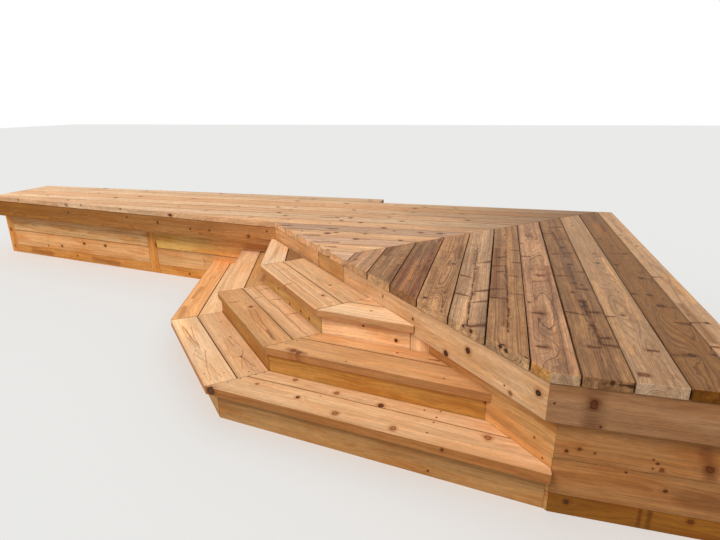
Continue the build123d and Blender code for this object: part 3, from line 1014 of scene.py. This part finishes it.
# The marks that single boards are known for, by node and number of the board
MARKS = {
    "deck_boards_right": {
        0: [knot(0.19, -0.04, 0.006)],
        1: [
            crack(0.45, -0.02, 0.46, 0.07), knot(0.26, 0.03, 0.004), bloom(0.41, 0.03, 0.43, 0.065, 0.03),
            stain_or_shadow(0.06, 0.05, 0.30, 0.055, 0.035), stain_or_shadow(0.45, -0.05, 0.62, -0.04, 0.03),
            knot(0.55, 0.02, 0.004),
        ],
        2: [
            stain_or_shadow(0.02, 0.045, 0.52, 0.050, 0.038), stain_or_shadow(0.52, 0.050, 0.90, 0.040, 0.038),
            stain_or_shadow(0.05, -0.04, 0.55, -0.042, 0.034), stain_or_shadow(0.55, -0.042, 0.85, -0.035, 0.030),
            bloom(0.02, 0.006, 0.50, 0.0, 0.030), knot(0.215, 0.005, 0.005), knot(0.44, 0.011, 0.006),
            knot(0.80, -0.035, 0.004), crack(0.56, -0.02, 0.78, -0.01, 0.003),
        ],
        3: [
            knot(0.17, -0.04, 0.010), knot(0.67, 0.03, 0.009), branch(0.88, -0.024, 0.89, 0.016, 0.006),
            knot(1.0, 0.0, 0.004), stain_or_shadow(0.35, -0.045, 0.60, -0.05, 0.03),
            stain_or_shadow(0.78, 0.05, 1.02, 0.045, 0.025),
        ],
        4: [
            crack(0.05, 0.003, 0.42, 0.0, 0.006), crack(0.42, 0.0, 0.78, -0.004, 0.005),
            crack(0.78, -0.003, 1.2, -0.01, 0.003), branch(0.86, 0.006, 0.90, 0.068),
            branch(0.44, 0.012, 0.47, 0.068), branch(0.31, 0.01, 0.34, 0.068, 0.011),
            branch(0.62, 0.0, 0.65, -0.06, 0.010), branch(0.375, 0.0, 0.40, -0.064, 0.011),
            branch(0.065, 0.005, 0.095, 0.068, 0.018), knot(0.07, 0.0, 0.011), knot(0.76, -0.003, 0.007),
            bloom(0.12, -0.008, 0.32, -0.006, 0.028), stain_or_shadow(0.40, 0.012, 0.80, 0.010, 0.022),
            stain_or_shadow(0.85, -0.012, 1.10, -0.016, 0.022), knot(1.02, -0.005, 0.005),
            branch(1.19, -0.005, 1.20, -0.05, 0.006),
        ],
        5: [
            crack(0.2, 0.006, 0.56, 0.004, 0.006), crack(0.56, 0.004, 1.0, -0.004, 0.005),
            crack(1.0, -0.004, 1.3, 0.0, 0.003), branch(1.0, -0.004, 0.975, -0.066, 0.009),
            branch(0.65, -0.004, 0.636, -0.066, 0.009), branch(0.535, 0.0, 0.53, -0.06, 0.010),
            branch(0.60, 0.008, 0.595, 0.066, 0.006), branch(1.3, 0.018, 1.29, 0.066, 0.012),
            branch(1.16, -0.004, 1.13, -0.045, 0.012), branch(1.387, -0.004, 1.378, -0.045, 0.006),
            branch(1.064, 0.02, 1.06, 0.066, 0.010), branch(0.837, 0.005, 0.838, 0.045, 0.009),
            branch(0.9, 0.0, 0.89, -0.035, 0.010), knot(1.63, -0.003, 0.008), knot(1.48, -0.003, 0.007),
            knot(0.09, -0.018, 0.009), knot(0.015, 0.056, 0.008), stain_or_shadow(0.55, -0.048, 1.30, -0.050, 0.045),
            stain_or_shadow(0.25, -0.012, 0.55, -0.010, 0.022), bloom(0.66, 0.028, 0.84, 0.028, 0.040),
        ],
        6: [
            branch(0.94, -0.020, 0.94, 0.016, 0.018), branch(0.465, -0.048, 0.465, -0.012, 0.020),
            knot(1.73, -0.002, 0.007), branch(1.25, -0.02, 1.245, -0.066, 0.012), knot(1.51, -0.056, 0.006),
            knot(0.574, -0.057, 0.006), branch(0.17, -0.050, 0.17, -0.018, 0.018),
            stain_or_shadow(0.60, 0.045, 1.10, 0.050, 0.022), bloom(0.10, 0.02, 0.40, 0.03, 0.035),
        ],
        7: [
            branch(1.95, -0.03, 1.99, 0.055, 0.010), knot(1.88, 0.034, 0.008),
            branch(1.79, -0.02, 1.79, -0.066, 0.012), branch(1.66, -0.01, 1.672, 0.045, 0.010),
            knot(1.47, 0.014, 0.009), branch(1.36, 0.005, 1.365, 0.04, 0.012),
            branch(1.34, 0.007, 1.33, -0.05, 0.010), knot(1.154, 0.016, 0.010), knot(1.075, -0.022, 0.006),
            branch(1.03, 0.02, 1.04, 0.068, 0.009), branch(0.967, 0.003, 0.955, -0.055, 0.010),
            knot(0.863, 0.008, 0.009), knot(0.845, 0.035, 0.007), branch(0.79, 0.01, 0.788, 0.045, 0.012),
            knot(0.737, -0.016, 0.008), knot(0.634, 0.008, 0.011), knot(0.577, 0.010, 0.009),
            crack(0.51, -0.068, 0.487, 0.006, 0.008), branch(0.523, 0.005, 0.527, 0.052, 0.014),
            crack(0.63, 0.01, 0.5, 0.01, 0.005), knot(0.392, 0.011, 0.010),
            branch(0.288, 0.012, 0.294, 0.05, 0.012), branch(0.209, 0.01, 0.211, -0.025, 0.012),
            branch(0.239, 0.02, 0.232, 0.066, 0.012), crack(0.4, 0.01, 0.24, 0.02, 0.004),
            stain_or_shadow(0.22, 0.018, 0.66, 0.014, 0.022), stain_or_shadow(0.78, 0.008, 1.16, 0.010, 0.020),
            stain_or_shadow(1.27, 0.012, 1.84, -0.008, 0.018),
        ],
        8: [
            knot(2.04, -0.016, 0.006), knot(1.39, 0.024, 0.006), knot(1.21, 0.012, 0.009),
            knot(0.79, 0.028, 0.004), pale_knot(0.525, -0.007, 0.007),
            branch(0.502, -0.035, 0.496, -0.066, 0.009), branch(0.23, 0.045, 0.23, 0.014, 0.012),
            pale_knot(0.054, -0.041, 0.009, 0.016), bloom(0.50, 0.045, 1.30, 0.050, 0.035),
            bloom(0.20, -0.045, 0.90, -0.050, 0.030),
        ],
        9: [
            knot(1.73, -0.04, 0.008), knot(1.58, -0.005, 0.008), knot(1.42, 0.035, 0.009),
            knot(1.20, -0.05, 0.008), knot(1.01, 0.02, 0.009), knot(0.78, -0.059, 0.008),
            knot(0.78, 0.002, 0.009), knot(0.66, 0.015, 0.011), branch(0.5, 0.02, 0.49, 0.068, 0.012),
            knot(0.226, -0.005, 0.011), knot(0.247, 0.066, 0.007), bloom(1.78, -0.018, 2.16, 0.006, 0.080),
            stain_or_shadow(0.66, 0.015, 0.650, 0.062, 0.024), stain_or_shadow(1.01, 0.02, 1.00, 0.066, 0.024),
            stain_or_shadow(0.226, -0.01, 0.215, -0.062, 0.026), stain_or_shadow(1.42, 0.03, 1.41, -0.03, 0.022),
        ],
        10: [
            knot(1.85, -0.03, 0.007), knot(1.60, 0.005, 0.008), branch(1.05, 0.0, 1.04, -0.05, 0.008),
            knot(0.52, 0.004, 0.008), branch(0.52, 0.0, 0.51, -0.05, 0.006),
            branch(0.31, -0.066, 0.31, -0.030, 0.010), knot(0.586, -0.035, 0.003),
            bloom(0.74, 0.024, 1.08, 0.026, 0.055), stain_or_shadow(0.35, -0.03, 0.70, -0.03, 0.035),
        ],
    },
    "deck_boards_corner": {
        1: [branch(0.11, 0.0, 0.17, 0.003, 0.012), knot(0.07, 0.006, 0.007)],
        2: [
            knot(0.385, 0.06, 0.016), branch(0.40, 0.058, 0.47, 0.072, 0.010),
            branch(0.22, -0.040, 0.30, -0.041, 0.011), branch(0.16, -0.060, 0.24, -0.036, 0.008),
        ],
        3: [
            knot(0.315, 0.006, 0.017), branch(0.18, -0.058, 0.28, -0.050, 0.012), knot(0.134, 0.025, 0.006),
            knot(0.80, -0.054, 0.011),
        ],
        4: [
            branch(0.05, -0.008, 0.14, 0.0, 0.016), branch(0.40, -0.014, 0.48, -0.010, 0.012),
            knot(0.86, 0.02, 0.008),
        ],
    },
    "deck_boards_left": {
        0: [knot(1.85, -0.06, 0.014), knot(1.66, 0.053, 0.012), branch(1.07, 0.036, 1.13, 0.040, 0.010)],
        1: [
            knot(2.64, 0.04, 0.013), branch(2.40, 0.018, 2.50, 0.026, 0.012), knot(2.6, -0.053, 0.011),
            knot(2.15, 0.0, 0.012), edge_knot(0.05, 0.069, 0.003, 0.006),
            edge_knot(0.11, 0.055, 0.024, 0.006), edge_knot(0.28, 0.033, 0.006, 0.006),
            edge_knot(0.72, -0.027, 0.010, 0.006),
        ],
        2: [knot(2.92, -0.052, 0.013), knot(2.97, 0.066, 0.012), edge_knot(0.36, -0.008, 0.014, 0.006)],
        3: [knot(3.45, 0.02, 0.011), knot(2.82, 0.011, 0.009)],
        6: [knot(2.98, -0.032, 0.008), knot(3.47, 0.02, 0.010)],
    },
    "bottom_tread_right": {
        0: [
            pale_knot(0.20, 0.035, 0.007), knot(0.416, 0.011, 0.008), pale_knot(0.61, -0.032, 0.012),
            pale_knot(0.853, -0.035, 0.012), pale_knot(1.19, 0.046, 0.012),
            edge_knot(1.05, -0.07, 0.012, 0.006), edge_knot(0.03, -0.07, 0.015, 0.018),
            knot(0.984, 0.059, 0.0035), knot(0.978, -0.01, 0.003), knot(0.50, 0.055, 0.0025),
        ],
        1: [
            pale_knot(0.214, 0.016, 0.009), pale_knot(0.43, -0.01, 0.010), knot(0.634, -0.024, 0.012),
            knot(0.806, 0.013, 0.0035), knot(0.867, 0.027, 0.003), knot(0.863, -0.017, 0.0035),
        ],
    },
    "middle_tread_left": {1: [stain_or_shadow(0.50, 0.040, 0.66, 0.035, 0.060)]},
    "middle_tread_right": {
        0: [
            pale_knot(0.139, -0.050, 0.013), pale_knot(0.172, -0.058, 0.011), knot(0.81, -0.025, 0.003),
            stain_or_shadow(0.11, -0.045, 0.20, -0.055, 0.030),
        ],
        1: [knot(0.463, -0.012, 0.004), branch(0.60, -0.014, 0.65, -0.012, 0.006)],
    },
    "top_tread_right": {0: [knot(0.246, 0.013, 0.004)]},
    "top_tread_middle": {
        0: [
            line(0.0, -0.013, 0.41, -0.015, 0.005), line(0.41, -0.015, 0.75, -0.017, 0.005),
            line(0.145, -0.010, 0.160, 0.060), line(0.318, -0.010, 0.330, 0.060),
            branch(0.390, -0.020, 0.396, -0.068, 0.005), line(0.12, 0.030, 0.74, 0.028),
        ],
        1: [knot(0.52, -0.011, 0.007), knot(0.24, 0.012, 0.003), bloom(0.50, -0.03, 0.62, -0.02, 0.022)],
    },
    "middle_tread_middle": {
        0: [
            knot(0.31, 0.029, 0.009), line(0.45, 0.022, 0.73, -0.002), line(0.46, -0.012, 0.73, -0.004),
            line(0.36, 0.034, 0.45, 0.022), stain_or_shadow(0.64, 0.004, 0.75, -0.003, 0.020),
            branch(0.194, -0.060, 0.202, -0.010, 0.006), line(0.34, 0.005, 0.46, -0.012),
        ],
        1: [
            line(0.02, -0.008, 0.44, -0.002, 0.005), line(0.44, -0.002, 0.78, 0.001, 0.005),
            branch(0.081, 0.0, 0.080, 0.060, 0.005), branch(0.19, -0.01, 0.194, -0.055, 0.005),
            branch(0.26, 0.0, 0.282, 0.060, 0.005), branch(0.50, 0.0, 0.510, 0.062, 0.005),
        ],
    },
    "bottom_tread_middle": {
        0: [
            line(0.12, -0.028, 0.44, -0.006), line(0.14, 0.010, 0.44, -0.008),
            line(0.17, -0.020, 0.40, -0.008, 0.003), line(0.47, -0.045, 0.61, -0.012),
            line(0.48, 0.012, 0.61, -0.014), line(0.62, -0.020, 0.78, -0.034, 0.003),
            line(0.62, -0.005, 0.78, 0.012, 0.003), bloom(0.02, -0.03, 0.25, -0.03, 0.050),
            knot(0.456, -0.030, 0.003),
        ],
        1: [
            knot(0.615, 0.002, 0.005), knot(0.375, 0.016, 0.004), knot(0.155, 0.026, 0.005),
            line(0.36, 0.012, 0.50, 0.030), line(0.38, -0.010, 0.49, 0.004),
            line(0.615, 0.002, 0.74, -0.030), line(0.615, 0.002, 0.75, 0.030),
            line(0.56, 0.028, 0.615, 0.002), line(0.60, -0.035, 0.615, 0.002),
            line(0.615, 0.002, 0.78, 0.004, 0.003),
        ],
    },
    "bottom_tread_left": {
        0: [
            knot(0.40, 0.02, 0.005), stain_or_shadow(0.95, -0.04, 1.10, -0.02, 0.050),
            stain_or_shadow(0.60, -0.02, 0.80, -0.03, 0.030),
        ],
        1: [knot(0.33, 0.0, 0.006), knot(0.55, -0.03, 0.005)],
    },
    "top_riser_middle": {
        0: [
            knot(0.212, 0.017, 0.006), knot(0.379, -0.020, 0.007), knot(0.53, -0.008, 0.007),
            knot(0.636, -0.008, 0.007),
        ],
    },
    "top_riser_right": {0: [knot(0.373, 0.003, 0.007), knot(0.213, 0.048, 0.005)]},
    "bottom_riser_right": {0: [knot(0.963, -0.046, 0.004)]},
    # On each fascia board, the mark along its top edge, 0.072 across, is a painted shadow line under the
    # deck boards' edge.
    "fascia_diagonal": {
        0: [stain_or_shadow(0.0, 0.072, 0.34, 0.072, 0.014), knot(0.24, -0.01, 0.004)],
        1: [stain_or_shadow(0.0, 0.072, 0.34, 0.072, 0.014)],
        2: [
            knot(0.634, 0.007, 0.006), knot(0.39, 0.03, 0.005), knot(0.986, 0.013, 0.012),
            knot(0.862, -0.055, 0.012), knot(1.319, 0.012, 0.011), pale_knot(1.205, -0.05, 0.007),
            knot(1.176, -0.035, 0.003), stain_or_shadow(0.0, 0.072, 1.40, 0.072, 0.014),
        ],
    },
    # The mark along the top edge, 0.072 across, is a painted shadow line under the deck boards' edge.
    "fascia_front": {
        0: [
            pale_knot(0.132, 0.013, 0.010, 0.012), knot(0.16, -0.062, 0.003),
            stain_or_shadow(0.130, 0.09, 0.136, -0.09, 0.07), stain_or_shadow(0.0, 0.072, 0.70, 0.072, 0.014),
            knot(0.02, 0.0, 0.003),
        ],
    },
    "skirt_front": {
        0: [
            knot(0.059, 0.014, 0.008), pale_knot(0.427, 0.023, 0.008),
            stain_or_shadow(0.283, 0.035, 0.283, -0.035, 0.014), stain_or_shadow(0.310, 0.035, 0.312, -0.035, 0.018),
        ],
        1: [knot(0.34, 0.014, 0.006), knot(0.22, 0.060, 0.003), stain_or_shadow(0.40, 0.0, 0.60, 0.0, 0.080)],
        2: [
            knot(0.037, -0.036, 0.005), pale_knot(0.075, -0.022, 0.006), knot(0.122, -0.029, 0.003),
            knot(0.289, -0.02, 0.003), knot(0.303, -0.032, 0.004), pale_knot(0.318, -0.052, 0.006),
            knot(0.292, -0.052, 0.003), pale_knot(0.444, -0.024, 0.011),
            stain_or_shadow(0.42, 0.045, 0.45, -0.05, 0.045),
        ],
    },
    "skirt_diagonal": {
        1: [knot(2.425, 0.042, 0.003)],
        2: [knot(2.384, -0.045, 0.003)],
    },
    "skirt_left_outer": {
        0: [
            stain_or_shadow(0.20, -0.011, 0.46, -0.010, 0.050), stain_or_shadow(1.00, -0.002, 1.30, -0.011, 0.050),
            knot(0.8, 0.01, 0.007),
        ],
        1: [
            knot(0.435, -0.043, 0.006), knot(0.62, -0.027, 0.010), knot(0.915, 0.024, 0.010),
            knot(1.172, 0.029, 0.010),
        ],
    },
    "skirt_left_inner": {
        0: [knot(0.313, -0.005, 0.007)],
        1: [line(0.470, 0.032, 0.481, 0.006, 0.005), line(0.481, 0.006, 0.474, -0.036, 0.005)],
    },
    # The mark along the top edge, 0.072 across, is a painted shadow line under the deck boards' edge.
    "fascia_left": {
        0: [
            knot(0.975, 0.023, 0.007), knot(1.65, 0.034, 0.006), knot(1.97, 0.016, 0.008),
            knot(2.29, -0.007, 0.006), knot(2.47, -0.004, 0.006), pale_knot(2.82, -0.016, 0.010),
            knot(2.98, 0.036, 0.006), stain_or_shadow(0.0, 0.072, 3.3, 0.072, 0.014),
        ],
    },
}

# Knots on the cut ends of boards
END_MARKS = {
    "deck_boards_right": {
        4: [edge_knot(0.05, 0.02, 0.010, 0.007), edge_knot(0.08, -0.012, 0.004, 0.006)],
        5: [edge_knot(0.092, -0.022, 0.005, 0.009), edge_knot(0.072, -0.002, 0.010, 0.007)],
        7: [edge_knot(0.0, 0.010, 0.013, 0.005), edge_branch(0.024, 0.013, 0.066, 0.015)],
    },
}

# Places where the rings of a flat-sawn board close in long ovals: along, across, half length, half width
SWIRLS = {
    "deck_boards_right": {
        3: [(0.03, 0.008, 0.17, 0.020)],
        6: [
            (0.51, 0.003, 0.19, 0.019), (0.165, -0.014, 0.07, 0.026), (0.94, 0.0, 0.09, 0.022),
            (1.46, 0.0, 0.20, 0.024),
        ],
        8: [(1.2, 0.01, 0.20, 0.024), (0.55, -0.01, 0.20, 0.024), (0.12, 0.01, 0.22, 0.022)],
        9: [(0.9, 0.0, 0.30, 0.034), (0.2, 0.01, 0.32, 0.036)],
    },
    "middle_tread_middle": {0: [(0.39, 0.018, 0.06, 0.018)]},
}

# Nail heads, two on each of these boards: metres along and across
NAILS = {
    "bottom_tread_right": {
        0: [(0.071, -0.004), (0.104, 0.043)],
        1: [(0.026, -0.014), (0.062, 0.040)],
    },
    "bottom_tread_middle": {
        1: [(0.775, -0.010), (0.815, 0.050)],
        0: [(0.705, -0.045), (0.740, 0.035)],
    },
    "middle_tread_right": {
        0: [(0.075, -0.004), (0.104, 0.043)],
        1: [(0.028, -0.014), (0.062, 0.040)],
    },
    "middle_tread_middle": {
        0: [(0.030, -0.040), (0.060, 0.040)],
        1: [(0.030, -0.040), (0.800, 0.040)],
    },
    "top_tread_middle": {0: [(0.030, -0.040), (0.745, 0.030)]},
}


def nail_head():
    """One round nail head with an eased rim, at the origin."""
    bpy.ops.object.select_all(action="DESELECT")
    bpy.ops.mesh.primitive_cylinder_add(
        vertices=nail_sides, radius=nail_radius, depth=nail_height, location=(0, 0, 0)
    )
    head = bpy.context.object
    edit(head)
    mesh = bmesh.from_edit_mesh(head.data)
    for edge in mesh.edges:
        edge.select = all(vertex.co.z > 0 for vertex in edge.verts)
    mesh.select_flush_mode()
    bmesh.update_edit_mesh(head.data)
    bpy.ops.mesh.bevel(offset=nail_edge_radius, segments=2, profile=0.5)
    done()
    bpy.ops.object.shade_smooth_by_angle(angle=radians(40))
    head.data.materials.append(nail_steel())
    return head


def nail_steel():
    """Dull, tarnished steel."""
    steel = Material("nail_steel")
    place = steel.node("ShaderNodeTexCoord").outputs["Object"]
    tarnish = steel.noise(place, 900)
    colour = steel.blend(tarnish, steel_dark, steel_light)
    shader = steel.node("ShaderNodeBsdfPrincipled")
    shader.inputs["Metallic"].default_value = 0.8
    steel.feed(shader.inputs["Base Color"], colour)
    steel.feed(shader.inputs["Roughness"], steel.slope(tarnish, 0.3, 0.7, 0.35, 0.6))
    steel.cover(shader)
    return steel.material


def drive_nails():
    """Sets copies of one nail head just into the ends of the tread boards."""
    head = nail_head()
    heads = []
    for node, boards in NAILS.items():
        for index, places in boards.items():
            board = boards_of[node][index]
            for along, across in places:
                copy = bpy.data.objects.new("nail", head.data.copy())
                bpy.context.scene.collection.objects.link(copy)
                copy.data.transform(Matrix.Translation(
                    board.along * (board.start + along)
                    + board.across * (board.middle + across)
                    + board.depth * (board.high - nail_height * 0.25)
                ))
                heads.append(copy)
    bpy.data.objects.remove(head)
    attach(join_as("tread_nails", heads), "root")


# The boards, and the nails in them
faces = {finish.slot: Cedar(f"{finish.slot}_face", finish).material for finish in PLAIN_FINISHES}
end_grain = Cedar("cedar_end_grain", tread, cut=True).material
boards_of = {node: finish_node(node) for node in sorted(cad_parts)}
drive_nails()


# Floor, light and camera
def either(tree, first, second):
    """One where at least one of two values is one."""
    larger = tree.nodes.new("ShaderNodeMath")
    larger.operation = "MAXIMUM"
    tree.links.new(first, larger.inputs[0])
    tree.links.new(second, larger.inputs[1])
    return larger.outputs[0]


def show_to_the_eye(tree, unseen, seen, output):
    """Gives the camera's own rays, and those that a glossy or clear surface sends on, their shader."""
    rays = tree.nodes.new("ShaderNodeLightPath").outputs
    straight_or_mirrored = either(tree, rays["Is Camera Ray"], rays["Is Glossy Ray"])
    share = either(tree, straight_or_mirrored, rays["Is Transmission Ray"])
    mix = tree.nodes.new("ShaderNodeMixShader")
    tree.links.new(share, mix.inputs[0])
    tree.links.new(unseen.outputs[0], mix.inputs[1])
    tree.links.new(seen.outputs[0], mix.inputs[2])
    tree.links.new(mix.outputs[0], output.inputs["Surface"])


def plain_shader(tree, kind, colour, strength=None):
    made = tree.nodes.new(kind)
    made.inputs["Color"].default_value = colour
    if strength is not None:
        made.inputs["Strength"].default_value = strength
    return made


def floor():
    """A pale floor that throws less light back at the boards than it shows."""
    bpy.ops.object.select_all(action="DESELECT")
    bpy.ops.mesh.primitive_plane_add(size=floor_size, location=(0, 0, 0))
    ground = bpy.context.object
    ground.name = "floor"
    material = bpy.data.materials.new("pale_floor")
    material.use_nodes = True
    tree = material.node_tree
    tree.nodes.clear()
    unseen = plain_shader(tree, "ShaderNodeBsdfDiffuse", floor_dimmed)
    seen = plain_shader(tree, "ShaderNodeBsdfDiffuse", floor_seen)
    show_to_the_eye(tree, unseen, seen, tree.nodes.new("ShaderNodeOutputMaterial"))
    ground.data.materials.append(material)


def world_light():
    """Even light from the whole sky, with a white backdrop."""
    world = bpy.data.worlds.new("studio")
    bpy.context.scene.world = world
    world.use_nodes = True
    tree = world.node_tree
    tree.nodes.clear()
    light = plain_shader(tree, "ShaderNodeBackground", sky_colour, sky_strength)
    backdrop = plain_shader(tree, "ShaderNodeBackground", backdrop_colour, 1.0)
    show_to_the_eye(tree, light, backdrop, tree.nodes.new("ShaderNodeOutputWorld"))


def soft_sun():
    """A wide, soft key light from the front left, high up."""
    bpy.ops.object.select_all(action="DESELECT")
    bpy.ops.object.light_add(type="SUN", location=sun_place)
    sun = bpy.context.object
    sun.name = "soft_key"
    sun.data.energy = sun_strength
    sun.data.angle = sun_width
    sun.data.color = sun_colour
    sun.rotation_euler = sun_way.to_track_quat("-Z", "Y").to_euler()


def camera():
    """Looks ahead by pan and tilt, and turns by roll about that line."""
    ahead = Vector((
        sin(camera_pan) * cos(camera_tilt), cos(camera_pan) * cos(camera_tilt), -sin(camera_tilt)
    ))
    right = Vector((cos(camera_pan), -sin(camera_pan), 0))
    down = ahead.cross(right)
    turned_right = cos(camera_roll) * right - sin(camera_roll) * down
    turned_down = sin(camera_roll) * right + cos(camera_roll) * down
    bpy.ops.object.camera_add(location=camera_place)
    view = bpy.context.object
    view.name = "photo_view"
    turn = Matrix((turned_right, -turned_down, -ahead)).transposed()
    view.rotation_euler = turn.to_euler()
    view.data.sensor_width = camera_sensor_width
    view.data.lens = camera_lens
    view.data.clip_end = camera_far_clip
    bpy.context.scene.camera = view


floor()
world_light()
soft_sun()
camera()
bpy.context.scene.view_settings.view_transform = "Standard"
